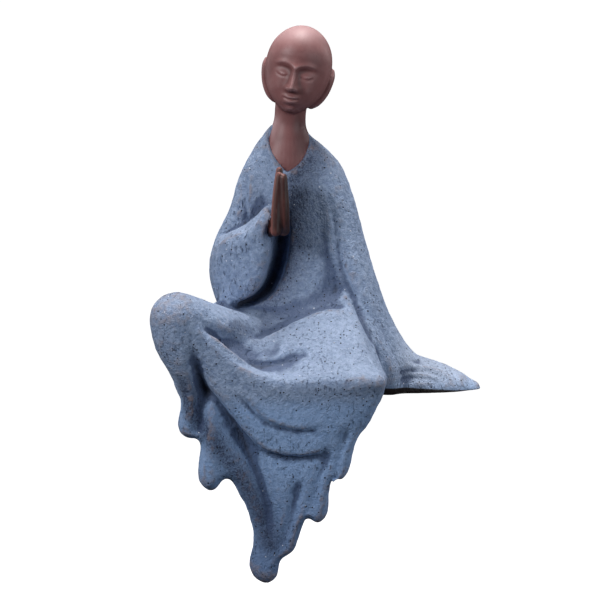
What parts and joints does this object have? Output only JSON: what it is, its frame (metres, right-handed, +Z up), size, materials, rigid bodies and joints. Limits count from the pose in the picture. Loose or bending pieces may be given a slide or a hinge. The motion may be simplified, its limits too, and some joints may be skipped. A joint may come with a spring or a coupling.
{
  "type": "monk statue",
  "caption": "Seated monk figurine of glazed stoneware that sits on a shelf's edge, its robe hanging in front of it and one sleeve trailing along the shelf.",
  "frame": {"origin": "middle of the flat underside of the seat, where the figure rests on the shelf", "axes": "+Z up, the face and the hanging robe look along -Y, +X towards the trailing sleeve"},
  "size_m": [0.1297, 0.0803, 0.2161],
  "materials": {
    "glazed_stoneware": "matt blue-grey pitted glaze on the robe, bare purple-brown clay on head, neck and hand"
  },
  "bodies": {
    "root": {"monk_statue": "glazed_stoneware"}
  },
  "joints": []
}
